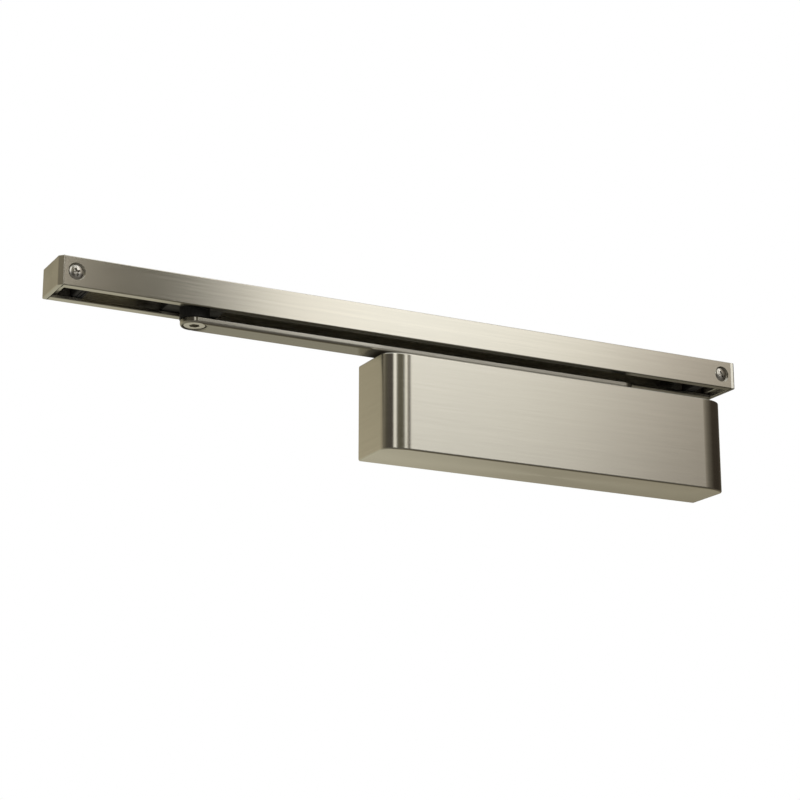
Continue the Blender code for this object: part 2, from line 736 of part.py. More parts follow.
def build_valve(name, length, place, rotation):
    """A regulating screw: a socket at its mouth, a ring groove and a tapered needle."""
    top = -0.0008
    radius = VALVE_RADIUS
    neck = radius * 0.72
    profile = [(0, top), (radius - 0.0003, top), (radius, top - 0.0003)]
    profile += [(radius, -length * 0.45), (neck, -length * 0.50), (neck, -length * 0.60)]
    profile += [(radius, -length * 0.65), (radius, -length * 0.75), (0.0006, -length), (0, -length)]
    mesh = turned_mesh(name, profile, segments=16)
    valve = make_part(name, mesh, "brass", place, rotation)
    cut_hexagon(valve, name, 0.0015, 0.0030, place, rotation)


def build_valves():
    """Closing and latching valves in the right end, backcheck valve in the front."""
    end = HOUSING_LENGTH / 2
    lying = (0, math.pi / 2, 0)
    build_valve("closing_valve", VALVE_LENGTH, (end, VALVE_DEPTH, VALVE_RISE), lying)
    build_valve("latching_valve", VALVE_LENGTH, (end, VALVE_DEPTH, -VALVE_RISE), lying)
    place = (BACKCHECK_X, -HOUSING_DEPTH, VALVE_RISE)
    build_valve("backcheck_valve", BACKCHECK_LENGTH, place, (math.pi / 2, 0, 0))


def build_arm():
    """Flat arm with round ends, a square hole for the spindle and a countersunk pivot hole."""
    outline = []
    for i in range(ARM_END_STEPS + 1):
        turn = -math.pi / 2 + math.pi * i / ARM_END_STEPS
        x = SPINDLE_X + ARM_HALF_WIDTH * math.cos(turn)
        outline.append((x, AXIS_Y + ARM_HALF_WIDTH * math.sin(turn)))
    for i in range(ARM_END_STEPS + 1):
        turn = math.pi / 2 + math.pi * i / ARM_END_STEPS
        x = PIVOT_X + ARM_HALF_WIDTH * math.cos(turn)
        outline.append((x, AXIS_Y + ARM_HALF_WIDTH * math.sin(turn)))
    mesh = outline_mesh("arm", [outline], ARM_BOTTOM, ARM_TOP)
    arm = make_part("arm", mesh, "satin_nickel")
    bevel(arm, ARM_EDGE, 2)
    half = SQUARE_HALF + GAP
    low = (SPINDLE_X - half, AXIS_Y - half, ARM_BOTTOM - 0.001)
    high = (SPINDLE_X + half, AXIS_Y + half, ARM_TOP + 0.001)
    cut(arm, make_cutter("arm_square_hole", box_mesh("arm_square_hole", low, high)))
    wide = STUD_HEAD + GAP
    narrow = STUD_RADIUS + GAP
    profile = [(0, 0.005), (narrow, 0.005), (narrow, STUD_TAPER), (wide, 0.0004)]
    profile += [(wide, -0.001), (0, -0.001)]
    mesh = turned_mesh("arm_pivot_hole", profile)
    cut(arm, make_cutter("arm_pivot_hole", mesh, (PIVOT_X, AXIS_Y, ARM_BOTTOM)))

    under = ARM_TOP + GAP
    crown = under + ARM_SCREW_CROWN
    head = ARM_SCREW_HEAD
    shank = ARM_SCREW_RADIUS
    profile = [(0, crown), (0.60 * head, crown), (0.88 * head, crown - 0.0007), (head, crown - 0.0018)]
    profile += [(head, under), (shank, under), (shank, ARM_SCREW_FOOT), (0, ARM_SCREW_FOOT)]
    mesh = turned_mesh("arm_screw", profile)
    screw = make_part("arm_screw", mesh, "bright_steel", (SPINDLE_X, AXIS_Y, 0))
    cut_hexagon(screw, "arm_screw", 0.0023, 0.0020, (SPINDLE_X, AXIS_Y, crown))


def build_slider():
    """Nylon slide block and its bush, turning on a stud that is fixed in the arm."""
    block_low = RAIL_BOTTOM + RAIL_WALL + GAP
    block_top = block_low + SLIDER_HEIGHT
    neck_low = ARM_TOP + GAP
    half_x = SLIDER_LENGTH / 2
    half_y = SLIDER_WIDTH / 2
    corners = [(PIVOT_X + sx * half_x, SLIDER_CENTRE_Y + sy * half_y) for sx, sy in
               ((-1, -1), (1, -1), (1, 1), (-1, 1))]
    outline = fillet(corners, [0.0030] * 4)
    mesh = outline_mesh("slider_block", [outline], block_low, block_top)
    block = make_part("slider_block", mesh, "nylon")
    neck = rod_mesh("slider_neck", SLIDER_NECK, neck_low, block_low + 0.001)
    place = (PIVOT_X, AXIS_Y, 0)
    cut(block, make_cutter("slider_neck", neck, place), "UNION")
    bore = rod_mesh("slider_bore", BUSH_RADIUS + GAP, neck_low - 0.001, block_top + 0.001)
    cut(block, make_cutter("slider_bore", bore, place))

    hole = STUD_RADIUS + GAP
    profile = [(BUSH_RADIUS, block_top), (BUSH_RADIUS, neck_low), (hole, neck_low), (hole, block_top)]
    mesh = turned_mesh("slider_bush", profile, ring=True)
    make_part("slider_bush", mesh, "bronze", place)

    foot = ARM_BOTTOM + 0.0001
    tip = block_top + 0.0020
    profile = [(0, tip), (STUD_RADIUS - 0.0005, tip), (STUD_RADIUS, tip - 0.0005)]
    profile += [(STUD_RADIUS, ARM_BOTTOM + STUD_TAPER), (STUD_HEAD, ARM_BOTTOM + 0.0006)]
    profile += [(STUD_HEAD, foot), (0, foot)]
    stud = make_part("pivot_stud", turned_mesh("pivot_stud", profile), "bright_steel", place)
    cut_hexagon(stud, "pivot_stud", 0.0026, 0.0022, (PIVOT_X, AXIS_Y, foot), (math.pi, 0, 0))
    profile = [(0.0066, tip - 0.0007), (0.0066, tip - 0.0015), (hole, tip - 0.0015), (hole, tip - 0.0007)]
    mesh = turned_mesh("pivot_circlip", profile, ring=True)
    make_part("pivot_circlip", mesh, "spring_steel", place)


def rail_profile():
    """The rail's C section as (y, z), with its slot below."""
    front = -RAIL_DEPTH
    low = RAIL_BOTTOM
    top = RAIL_TOP
    wall = RAIL_WALL
    points = [(front, top), (front, low), (front + FRONT_LIP, low)]
    points += [(front + FRONT_LIP, low + wall), (front + wall, low + wall), (front + wall, top - wall)]
    points += [(-wall, top - wall), (-wall, low + wall), (-BACK_LIP, low + wall)]
    points += [(-BACK_LIP, low), (0, low), (0, top)]
    outer = RAIL_OUTER_ROUND
    radii = [outer, outer, 0, 0, 0, 0, 0, 0, 0, 0, outer, outer]
    return fillet(points, radii)


def along_x(mesh):
    """Stand an outline drawn as (y, z) in the XY plane up so that it runs along X."""
    mesh.transform(Matrix.Rotation(math.pi / 2, 4, "Z") @ Matrix.Rotation(math.pi / 2, 4, "X"))
    return mesh


def rail_screw_places():
    """Where the rail's two fixing screws stand, along X."""
    return [RAIL_LEFT + RAIL_SCREW_INSET, RAIL_RIGHT - RAIL_SCREW_INSET]


def build_rail():
    """Slide rail with a countersunk hole near each end, and its two screws."""
    low = RAIL_LEFT + END_CAP + GAP
    high = RAIL_RIGHT - END_CAP - GAP
    mesh = along_x(outline_mesh("slide_rail", [rail_profile()], low, high))
    rail = make_part("slide_rail", mesh, "satin_nickel")
    upright = (math.pi / 2, 0, 0)
    sides = ("left", "right")
    for side, x in zip(sides, rail_screw_places()):
        place = (x, -RAIL_DEPTH, RAIL_SCREW_HEIGHT)
        name = f"{side}_rail_hole"
        cut(rail, make_cutter(name, screw_hole_mesh(name, RAIL_DEPTH), place, upright))
        name = f"{side}_rail_screw"
        mesh = screw_mesh(name, RAIL_DEPTH - GAP)
        screw = make_part(name, mesh, "bright_steel", place, upright)
        cut_cross(screw, name, place, upright)


def build_rail_ends():
    """An end cap with a plug in each end of the rail, and a rubber buffer behind each screw."""
    top = RAIL_TOP
    inner = RAIL_WALL + GAP
    for side, sign, edge, screw in zip(
        ("left", "right"), (1, -1), (RAIL_LEFT, RAIL_RIGHT), rail_screw_places()
    ):
        ends = sorted((edge, edge + sign * END_CAP))
        plan = [(ends[0], 0), (ends[0], -RAIL_DEPTH), (ends[1], -RAIL_DEPTH), (ends[1], 0)]
        soft = END_CAP_ROUND
        radii = [soft, soft, 0, 0] if sign > 0 else [0, 0, soft, soft]
        name = f"{side}_end_cap"
        mesh = outline_mesh(name, [fillet(plan, radii)], RAIL_BOTTOM, top)
        cap = make_part(name, mesh, "satin_nickel")
        reach = sorted((edge + sign * END_CAP / 2, edge + sign * (END_CAP + CAP_PLUG)))
        low = (reach[0], -RAIL_DEPTH + inner, RAIL_BOTTOM + inner)
        plug = box_mesh(f"{name}_plug", low, (reach[1], -inner, top - inner))
        cut(cap, make_cutter(f"{name}_plug", plug), "UNION")

        near = screw + sign * BUFFER_FROM_SCREW
        span = sorted((near, near + sign * BUFFER_LENGTH))
        low = (span[0], -RAIL_DEPTH + inner, RAIL_BOTTOM + inner)
        name = f"{side}_buffer"
        mesh = box_mesh(name, low, (span[1], -inner, top - inner))
        buffer = make_part(name, mesh, "rubber")
        bevel(buffer, 0.0008, 1)


def build_door_closer():
    """Every part of the closer."""
    build_cover()
    build_cover_clips()
    build_housing()
    build_housing_screws()
    build_bearings_and_glands()
    build_spindle()
    build_pistons_and_springs()
    build_plugs()
    build_adjuster()
    build_valves()
    build_arm()
    build_slider()
    build_rail()
    build_rail_ends()


build_door_closer()
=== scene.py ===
"""The looks of an overhead track-arm door closer in satin nickel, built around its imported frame.

Metres, in the frame's own axes: +X along the rail, +Y into the door, +Z up.
"""

import json
import math

import bmesh
import bpy
from mathutils import Matrix, Vector


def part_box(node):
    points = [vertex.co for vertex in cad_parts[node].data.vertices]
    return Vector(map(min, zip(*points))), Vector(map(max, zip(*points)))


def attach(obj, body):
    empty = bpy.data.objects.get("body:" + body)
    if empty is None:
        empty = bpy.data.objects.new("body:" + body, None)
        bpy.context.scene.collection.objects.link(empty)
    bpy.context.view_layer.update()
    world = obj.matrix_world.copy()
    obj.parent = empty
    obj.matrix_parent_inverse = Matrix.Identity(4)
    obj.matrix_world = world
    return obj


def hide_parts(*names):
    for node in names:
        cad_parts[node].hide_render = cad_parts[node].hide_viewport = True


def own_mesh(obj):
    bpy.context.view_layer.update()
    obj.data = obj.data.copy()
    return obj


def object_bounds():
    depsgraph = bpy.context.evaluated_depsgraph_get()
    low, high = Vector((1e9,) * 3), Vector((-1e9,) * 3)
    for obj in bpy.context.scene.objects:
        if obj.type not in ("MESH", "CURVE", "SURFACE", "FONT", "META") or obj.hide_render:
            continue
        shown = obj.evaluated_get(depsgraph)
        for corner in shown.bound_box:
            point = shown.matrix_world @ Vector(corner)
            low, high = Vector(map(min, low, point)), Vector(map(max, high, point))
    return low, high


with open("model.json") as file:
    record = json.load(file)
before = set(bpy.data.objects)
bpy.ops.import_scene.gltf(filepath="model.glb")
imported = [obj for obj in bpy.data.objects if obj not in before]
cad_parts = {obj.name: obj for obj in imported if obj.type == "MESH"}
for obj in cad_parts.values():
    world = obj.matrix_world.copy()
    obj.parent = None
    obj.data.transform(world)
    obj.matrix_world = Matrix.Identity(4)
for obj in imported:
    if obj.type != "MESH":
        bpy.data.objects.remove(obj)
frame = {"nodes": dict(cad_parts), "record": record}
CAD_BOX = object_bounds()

RECORD = frame["record"]
SLOT_OF = {row["node"]: row["material_slot"] for row in RECORD["subparts"]}
BODY_OF = {node: body for body, nodes in RECORD["behaviour"]["bodies"].items() for node in nodes}
TINT_OF = {row["slot"]: row["base_color"][:3] for row in RECORD["materials"]}

# Camera: where it stands, what it looks at, and its lens and sensor in millimetres
CAMERA_PLACE = Vector((-0.6476, -1.0760, -0.3318))
CAMERA_TARGET = Vector((-0.1070, -0.0294, 0.0024))
CAMERA_LENS = 94.5
SENSOR_WIDTH = 36.0
FLOOR_DROP = 1.6
FLOOR_HALF = 90.0

# How finely round shapes are divided, and how they are shaded
FINE = 64
SCREW_STEPS = 48
CORNER_STEPS = 28
RIM_STEPS = 5
COIL_STEPS = 36
SHARP_ANGLE = math.radians(35)
FLAT_ANGLE = math.radians(0.5)
SAME_POINT = 0.000001

# Small sizes that the finished pieces add to the frame's, in metres
GAP = 0.0003
CUT_PAST = 0.0010

COVER_CORNER_ALONG = 0.0170
COVER_CORNER_DEEP = 0.0085
COVER_EDGE = 0.0011
COVER_WALL = 0.0015
COVER_PLATE = 0.0012
NOTCH_HALF_WIDTH = 0.0072

RAIL_WALL = 0.0020
RAIL_FRONT_LIP = 0.0049
RAIL_BACK_LIP = 0.0057
RAIL_ROUND = 0.0006
RAIL_LIP_ROUND = 0.0004
RAIL_INNER_ROUND = 0.0003
RAIL_END_ROUND = 0.0001
RAIL_REACH = GAP * 0.8  # into the gap at each end cap

CAP_THICKNESS = 0.0029
CAP_CHAMFER = 0.0024
CAP_LEAN = 0.0002
CAP_ROUND = 0.0009
CAP_FRONT_ROUND = 0.0010
CAP_CHAMFER_ROUND = 0.0003
CAP_JOINT_ROUND = 0.0001
CAP_RIM = 0.0005
PLUG_INSET = 0.0023
PLUG_ROUND = 0.0005

SCREW_HEAD = 0.0046
SCREW_SHANK = 0.0024
SCREW_SUNK = 0.0002
SCREW_TURN = math.radians(24)
BUFFER_ROUND = 0.0009

ARM_LOWER_ROUND = 0.0017
ARM_UPPER_ROUND = 0.0004
SQUARE_HALF = 0.0042
PIVOT_FOOT = 0.0063
PIVOT_SHANK = 0.0040
PIVOT_SUNK = 0.0007
PIVOT_HOLE = 0.0043
SLIDER_CORNER = 0.0030
SLIDER_RIM = 0.0006
SLIDER_NECK = 0.0086
SLIDER_BORE = 0.0063

CLOSING_TURNS, CLOSING_WIRE = 11, 0.0016
RETURN_TURNS, RETURN_WIRE = 4, 0.0008
CLOSED_PITCH = 2.1  # advance of a closed turn, in wire radii

# Finishes: the painted crevice shade has a colour and a reach in metres, and noise scales count waves
# in a metre
BRUSH_STRENGTH = 0.90
CREVICE_SHADE_COLOUR = (0.060, 0.042, 0.028)
CREVICE_SHADE_REACH = 0.012
STREAK_SCALE, BROAD_SCALE, CLOUD_SCALE = 2600.0, 620.0, 22.0
TOOL_MARK_SCALE, STAIN_SCALE = 2200.0, 180.0
SKIN_SCALE, BLOTCH_SCALE = 900.0, 60.0
NYLON_SCALE, RUBBER_SCALE, PATCH_SCALE = 1500.0, 2200.0, 140.0
BRUSH_DEPTH, TOOL_MARK_DEPTH, SKIN_DEPTH = 0.000004, 0.000006, 0.00006
NYLON_DEPTH, RUBBER_DEPTH = 0.00003, 0.00004


def low(node):
    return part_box(node)[0]


def high(node):
    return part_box(node)[1]


def middle(node):
    return (low(node) + high(node)) / 2


# ---------------------------------------------------------------- mesh tools


def inset(loop, distance):
    """A closed loop of 2D points moved inwards, to the left of its direction."""
    moved = []
    count = len(loop)
    for i, point in enumerate(loop):
        here = Vector(point)
        before = (here - Vector(loop[i - 1])).normalized()
        after = (Vector(loop[(i + 1) % count]) - here).normalized()
        normal = Vector((-before.y - after.y, before.x + after.x))
        scale = 2 / max(normal.length_squared, 0.2)
        moved.append(tuple(here + normal * (distance * scale)))
    return moved


def anticlockwise(loop):
    """The same loop, turning anticlockwise."""
    area = sum(a[0] * b[1] - b[0] * a[1] for a, b in zip(loop, loop[1:] + loop[:1]))
    return loop if area > 0 else loop[::-1]


def rim_levels(start, end, start_round, end_round, steps=RIM_STEPS):
    """Heights and insets of an extrusion whose two rims are rounded."""
    levels = []
    for i in range(steps + 1):
        turn = math.pi / 2 * i / steps
        rise = start_round * (1 - math.cos(turn))
        levels.append((start + rise, start_round * (1 - math.sin(turn))))
    for i in range(steps + 1):
        turn = math.pi / 2 * (1 - i / steps)
        rise = end_round * (1 - math.cos(turn))
        levels.append((end - rise, end_round * (1 - math.sin(turn))))
    return levels


def drawn(loop, levels, holes=()):
    """A solid whose outline, with holes, is drawn out along Z through the given levels."""
    work = bmesh.new()
    rings = []
    for outline in (anticlockwise(list(loop)), *(anticlockwise(list(h))[::-1] for h in holes)):
        stack = []
        for height, distance in levels:
            points = inset(outline, distance) if distance else outline
            stack.append([work.verts.new((x, y, height)) for x, y in points])
        for lower, upper in zip(stack, stack[1:]):
            count = len(lower)
            for i in range(count):
                j = (i + 1) % count
                work.faces.new((lower[i], lower[j], upper[j], upper[i]))
        rings.append(stack)
    for level in (0, -1):
        edges = []
        for stack in rings:
            ring = stack[level]
            edges += [work.edges.get((a, b)) for a, b in zip(ring, ring[1:] + ring[:1])]
        if len(rings) == 1:
            work.faces.new(rings[0][level])
        else:
            bmesh.ops.triangle_fill(work, edges=edges, use_beauty=True)
    bmesh.ops.recalc_face_normals(work, faces=work.faces)
    return work


def turned(profile, segments=FINE):
    """A solid turned about Z from (radius, height) points that end on the axis, or form a ring."""
    work = bmesh.new()
    points = [work.verts.new((radius, 0, height)) for radius, height in profile]
    edges = [work.edges.new(pair) for pair in zip(points, points[1:])]
    if profile[0][0] > 0:
        edges.append(work.edges.new((points[-1], points[0])))
    bmesh.ops.spin(
        work, geom=points + edges, cent=(0, 0, 0), axis=(0, 0, 1), dvec=(0, 0, 0),
        angle=2 * math.pi, steps=segments, use_merge=True,
    )
    bmesh.ops.remove_doubles(work, verts=work.verts, dist=SAME_POINT)
    bmesh.ops.recalc_face_normals(work, faces=work.faces)
    return work


def rod(radius, start, end):
    """A plain round rod about Z."""
    return turned([(0, end), (radius, end), (radius, start), (0, start)])


def rounded_profile(profile, radii, steps=4):
    """A turned profile with its corners rounded, each by its own radius; ends stay as they are."""
    rounded = [profile[0]]
    for i in range(1, len(profile) - 1):
        here = Vector(profile[i])
        radius = radii[i]
        if radius == 0:
            rounded.append(tuple(here))
            continue
        back = (Vector(profile[i - 1]) - here).normalized()
        ahead = (Vector(profile[i + 1]) - here).normalized()
        half = back.angle(ahead) / 2
        centre = here + (back + ahead).normalized() * (radius / math.sin(half))
        start = here + back * (radius / math.tan(half)) - centre
        end = here + ahead * (radius / math.tan(half)) - centre
        for j in range(steps + 1):
            spoke = start.lerp(end, j / steps).normalized() * radius
            rounded.append(tuple(centre + spoke))
    rounded.append(profile[-1])
    return rounded


def rounded_loop(points, radii, steps=6):
    """A closed loop with its corners rounded, each by its own radius."""
    closed = [points[-1], *points, points[0]]
    return rounded_profile(closed, [0, *radii, 0], steps)[1:-1]


def block(low_corner, high_corner, radius):
    """A box with every edge rounded."""
    work = bmesh.new()
    bmesh.ops.create_cube(work, size=1.0)
    size = high_corner - low_corner
    bmesh.ops.scale(work, vec=size, verts=work.verts)
    bmesh.ops.translate(work, vec=(low_corner + high_corner) / 2, verts=work.verts)
    bmesh.ops.bevel(
        work, geom=list(work.edges), offset=radius, segments=3, profile=0.5, affect="EDGES"
    )
    return work


def place(work, matrix):
    """Move a mesh in the making."""
    bmesh.ops.transform(work, matrix=matrix, verts=work.verts)
    return work


def at(x, y, z):
    return Matrix.Translation((x, y, z))


FACING_OUT = Matrix.Rotation(math.pi / 2, 4, "X")
ALONG_X = Matrix.Rotation(math.pi / 2, 4, "Z") @ Matrix.Rotation(math.pi / 2, 4, "X")
UPSIDE_DOWN = Matrix.Rotation(math.pi, 4, "X")


def as_object(name, work):
    """A plain object from a mesh in the making."""
    mesh = bpy.data.meshes.new(name)
    work.to_mesh(mesh)
    work.free()
    item = bpy.data.objects.new(name, mesh)
    bpy.context.scene.collection.objects.link(item)
    return item


def combine(item, cutters, operation="DIFFERENCE"):
    """Cut an object with each cutter, or join them to it, and keep the result as its mesh."""
    for number, cutter in enumerate(cutters):
        tool = as_object(f"{item.name}_tool_{number}", cutter)
        step = item.modifiers.new("step", "BOOLEAN")
        step.operation = operation
        step.solver = "EXACT"
        step.object = tool
        bpy.context.view_layer.update()
        graph = bpy.context.evaluated_depsgraph_get()
        made = bpy.data.meshes.new_from_object(item.evaluated_get(graph))
        item.modifiers.clear()
        item.data = made
        bpy.data.objects.remove(tool, do_unlink=True)
    return item


def finished(item, node):
    """Shade a piece, give it its slot's material, and let it stand for its CAD node."""
    item.data.shade_smooth()
    item.data.set_sharp_from_angle(angle=SHARP_ANGLE)
    normals = item.modifiers.new("even_shading", "WEIGHTED_NORMAL")
    normals.keep_sharp = True
    item.data.materials.clear()
    item.data.materials.append(MATERIALS[SLOT_OF[node]])
    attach(item, BODY_OF[node])
    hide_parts(node)
    return item


# ---------------------------------------------------------------- materials


class Nodes:
    """Short ways to add nodes to one material."""

    def __init__(self, name):
        self.material = bpy.data.materials.new(name)
        self.material.use_nodes = True
        self.tree = self.material.node_tree
        self.shader = self.tree.nodes["Principled BSDF"]

    def add(self, kind, **settings):
        node = self.tree.nodes.new(kind)
        for name, value in settings.items():
            setattr(node, name, value)
        return node

    def link(self, source, target):
        self.tree.links.new(source, target)

    def noise(self, scale, detail, stretch=(1, 1, 1)):
        """Noise in the frame's metres; a small stretch number draws it out along that axis."""
        place_node = self.add("ShaderNodeTexCoord")
        mapping = self.add("ShaderNodeMapping")
        mapping.inputs["Scale"].default_value = stretch
        noise = self.add("ShaderNodeTexNoise")
        noise.inputs["Scale"].default_value = scale
        noise.inputs["Detail"].default_value = detail
        self.link(place_node.outputs["Object"], mapping.inputs["Vector"])
        self.link(mapping.outputs["Vector"], noise.inputs["Vector"])
        return noise.outputs["Fac"]

    def ranged(self, source, low_end, high_end, start=0.3, stop=0.7):
        """Spread a factor between two values."""
        spread = self.add("ShaderNodeMapRange")
        spread.inputs["From Min"].default_value = start
        spread.inputs["From Max"].default_value = stop
        spread.inputs["To Min"].default_value = low_end
        spread.inputs["To Max"].default_value = high_end
        self.link(source, spread.inputs["Value"])
        return spread.outputs["Result"]

    def varied(self, source, share, centre=1.0):
        """A value that strays from its centre by this share, up and down."""
        return self.ranged(source, centre * (1 - share), centre * (1 + share))

    def combined(self, operation, first, second):
        both = self.add("ShaderNodeMath", operation=operation)
        self.link(first, both.inputs[0])
        self.link(second, both.inputs[1])
        return both.outputs["Value"]

    def multiplied(self, first, second):
        return self.combined("MULTIPLY", first, second)

    def summed(self, first, second):
        return self.combined("ADD", first, second)

    def tinted(self, colour, strength):
        """A colour made lighter and darker by a factor around 1."""
        tint = self.add("ShaderNodeVectorMath", operation="SCALE")
        tint.inputs[0].default_value = colour
        self.link(strength, tint.inputs["Scale"])
        return tint.outputs["Vector"]

    def bumped(self, height, distance, strength):
        bump = self.add("ShaderNodeBump")
        bump.inputs["Strength"].default_value = strength
        bump.inputs["Distance"].default_value = distance
        self.link(height, bump.inputs["Height"])
        self.link(bump.outputs["Normal"], self.shader.inputs["Normal"])

    def painted_crevice_shade(self, reach):
        """0 on open surfaces, up to 1 deep in gaps and channels: a mask for painted shade where
        nearby pieces block the light.
        """
        nearby = self.add("ShaderNodeAmbientOcclusion", samples=8)
        nearby.inputs["Distance"].default_value = reach
        return self.ranged(nearby.outputs["AO"], 1.0, 0.0, 0.15, 0.75)

    def lerped(self, factor, first, second):
        """A value that goes from first to second as the factor goes from 0 to 1."""
        mix = self.add("ShaderNodeMix", data_type="FLOAT")
        self.link(factor, mix.inputs["Factor"])
        for socket, value in ((mix.inputs["A"], first), (mix.inputs["B"], second)):
            if isinstance(value, float):
                socket.default_value = value
            else:
                self.link(value, socket)
        return mix.outputs["Result"]

    def coloured(self, factor, first, second):
        """A colour that goes from first to second as the factor goes from 0 to 1."""
        mix = self.add("ShaderNodeMix", data_type="RGBA")
        self.link(factor, mix.inputs["Factor"])
        self.link(first, mix.inputs[6])
        mix.inputs[7].default_value = (*second, 1.0)
        return mix.outputs[2]

    def worn_edges(self, amount):
        """A factor a little over 1 on outer edges, where handling polishes the finish."""
        shape = self.add("ShaderNodeNewGeometry")
        return self.ranged(shape.outputs["Pointiness"], 1.0, 1.0 + amount, 0.50, 0.60)


def painted_underside_shade(nodes, underside_shade):
    """A painted shade factor for faces that look down, given as (left value, right value, start X,
    end X).
    """
    shape = nodes.add("ShaderNodeNewGeometry")
    split = nodes.add("ShaderNodeSeparateXYZ")
    nodes.link(shape.outputs["Normal"], split.inputs["Vector"])
    facing = nodes.ranged(split.outputs["Z"], 1.0, 0.0, -0.95, -0.30)
    spot = nodes.add("ShaderNodeSeparateXYZ")
    nodes.link(shape.outputs["Position"], spot.inputs["Vector"])
    return nodes.lerped(facing, 1.0, nodes.ranged(spot.outputs["X"], *underside_shade))


def brushed_metal(name, colour, roughness, stretch, tangent, turn, underside_shade=None):
    """Metal brushed in one direction, with streaks and clouds, painted shade where pieces are close,
    and painted shade on downward faces when given.
    """
    nodes = Nodes(name)
    streaks = nodes.noise(STREAK_SCALE, 2.0, stretch)
    broad = nodes.noise(BROAD_SCALE, 3.0, stretch)
    clouds = nodes.noise(CLOUD_SCALE, 3.0)
    # painted shade: deep in gaps and channels the metal turns dark, rougher and less metallic
    crevice_shade = nodes.painted_crevice_shade(CREVICE_SHADE_REACH)
    shade = nodes.multiplied(nodes.varied(streaks, 0.035), nodes.varied(broad, 0.015))
    shade = nodes.multiplied(shade, nodes.varied(clouds, 0.025))
    shade = nodes.multiplied(shade, nodes.worn_edges(0.04))
    # painted shade on faces that look down
    if underside_shade:
        shade = nodes.multiplied(shade, painted_underside_shade(nodes, underside_shade))
    bright = nodes.tinted(colour, shade)
    nodes.link(nodes.coloured(crevice_shade, bright, CREVICE_SHADE_COLOUR), nodes.shader.inputs["Base Color"])
    rough = nodes.multiplied(nodes.varied(streaks, 0.07, roughness), nodes.varied(clouds, 0.04))
    nodes.link(nodes.lerped(crevice_shade, rough, 0.70), nodes.shader.inputs["Roughness"])
    nodes.link(nodes.lerped(crevice_shade, 1.0, 0.35), nodes.shader.inputs["Metallic"])
    nodes.shader.inputs["Anisotropic"].default_value = BRUSH_STRENGTH
    nodes.shader.inputs["Anisotropic Rotation"].default_value = turn
    grain = nodes.add("ShaderNodeTangent", direction_type="RADIAL", axis=tangent)
    nodes.link(grain.outputs["Tangent"], nodes.shader.inputs["Tangent"])
    nodes.bumped(nodes.summed(streaks, broad), BRUSH_DEPTH, 0.35)
    return nodes.material


def turned_metal(name, colour, roughness):
    """Bright machined metal with fine tool marks and small stains."""
    nodes = Nodes(name)
    marks = nodes.noise(TOOL_MARK_SCALE, 3.0)
    stains = nodes.noise(STAIN_SCALE, 3.0)
    shade = nodes.multiplied(nodes.varied(marks, 0.04), nodes.ranged(stains, 0.93, 1.05))
    shade = nodes.multiplied(shade, nodes.worn_edges(0.08))
    rough = nodes.ranged(stains, roughness * 0.85, roughness * 1.2)
    nodes.link(nodes.tinted(colour, shade), nodes.shader.inputs["Base Color"])
    nodes.link(rough, nodes.shader.inputs["Roughness"])
    nodes.shader.inputs["Metallic"].default_value = 1.0
    nodes.bumped(marks, TOOL_MARK_DEPTH, 0.4)
    return nodes.material


def cast_metal(name, colour):
    """Sand-grey die casting: a pebbled skin, dull and slightly blotchy."""
    nodes = Nodes(name)
    skin = nodes.noise(SKIN_SCALE, 4.0)
    blotches = nodes.noise(BLOTCH_SCALE, 3.0)
    shade = nodes.multiplied(nodes.ranged(skin, 0.90, 1.08), nodes.ranged(blotches, 0.92, 1.05))
    shade = nodes.multiplied(shade, nodes.worn_edges(0.15))
    nodes.link(nodes.tinted(colour, shade), nodes.shader.inputs["Base Color"])
    nodes.link(nodes.ranged(skin, 0.46, 0.62), nodes.shader.inputs["Roughness"])
    nodes.shader.inputs["Metallic"].default_value = 0.9
    nodes.bumped(skin, SKIN_DEPTH, 0.6)
    return nodes.material


def moulded(name, colour, roughness, grain_scale, depth):
    """Moulded nylon or rubber with a fine grain."""
    nodes = Nodes(name)
    grain = nodes.noise(grain_scale, 3.0)
    patches = nodes.noise(PATCH_SCALE, 2.0)
    shade = nodes.multiplied(nodes.varied(grain, 0.15), nodes.varied(patches, 0.12))
    rough = nodes.varied(patches, 0.1, roughness)
    nodes.link(nodes.tinted(colour, shade), nodes.shader.inputs["Base Color"])
    nodes.link(rough, nodes.shader.inputs["Roughness"])
    nodes.bumped(grain, depth, 0.5)
    return nodes.material


def build_materials():
    """One material for each slot of the record."""
    along_x = (0.012, 1.0, 1.0)
    round_z = (0.012, 0.012, 1.0)
    slider = middle("slider_block").x
    # painted shade on the undersides of the rail and the arm: (left value, right value, start X, end
    # X)
    rail_underside_shade = (0.80, 0.28, slider - 0.030, slider + 0.010)
    arm_underside_shade = (0.74, 0.68, -0.2, 0.0)
    tint = dict(TINT_OF)
    retouched = {"rail_nickel": 1.03, "arm_nickel": 0.80, "slider_nylon": 0.25, "bright_screws": 0.85}
    for slot, factor in retouched.items():
        tint[slot] = [shade * factor for shade in tint[slot]]
    made = {
        "cover_nickel": (brushed_metal, 0.20, round_z, "Z", 0.25),
        "rail_nickel": (brushed_metal, 0.16, along_x, "X", 0.0, rail_underside_shade),
        "arm_nickel": (brushed_metal, 0.24, along_x, "X", 0.0, arm_underside_shade),
        "bright_screws": (turned_metal, 0.18),
        "hardened_steel": (turned_metal, 0.28),
        "spring_steel": (turned_metal, 0.38),
        "housing_alloy": (cast_metal,),
        "valve_brass": (turned_metal, 0.26),
        "bush_bronze": (turned_metal, 0.34),
        "slider_nylon": (moulded, 0.60, NYLON_SCALE, NYLON_DEPTH),
        "seal_rubber": (moulded, 0.70, RUBBER_SCALE, RUBBER_DEPTH),
    }
    return {slot: make(slot, tint[slot], *settings) for slot, (make, *settings) in made.items()}


MATERIALS = build_materials()


# ---------------------------------------------------------------- cover


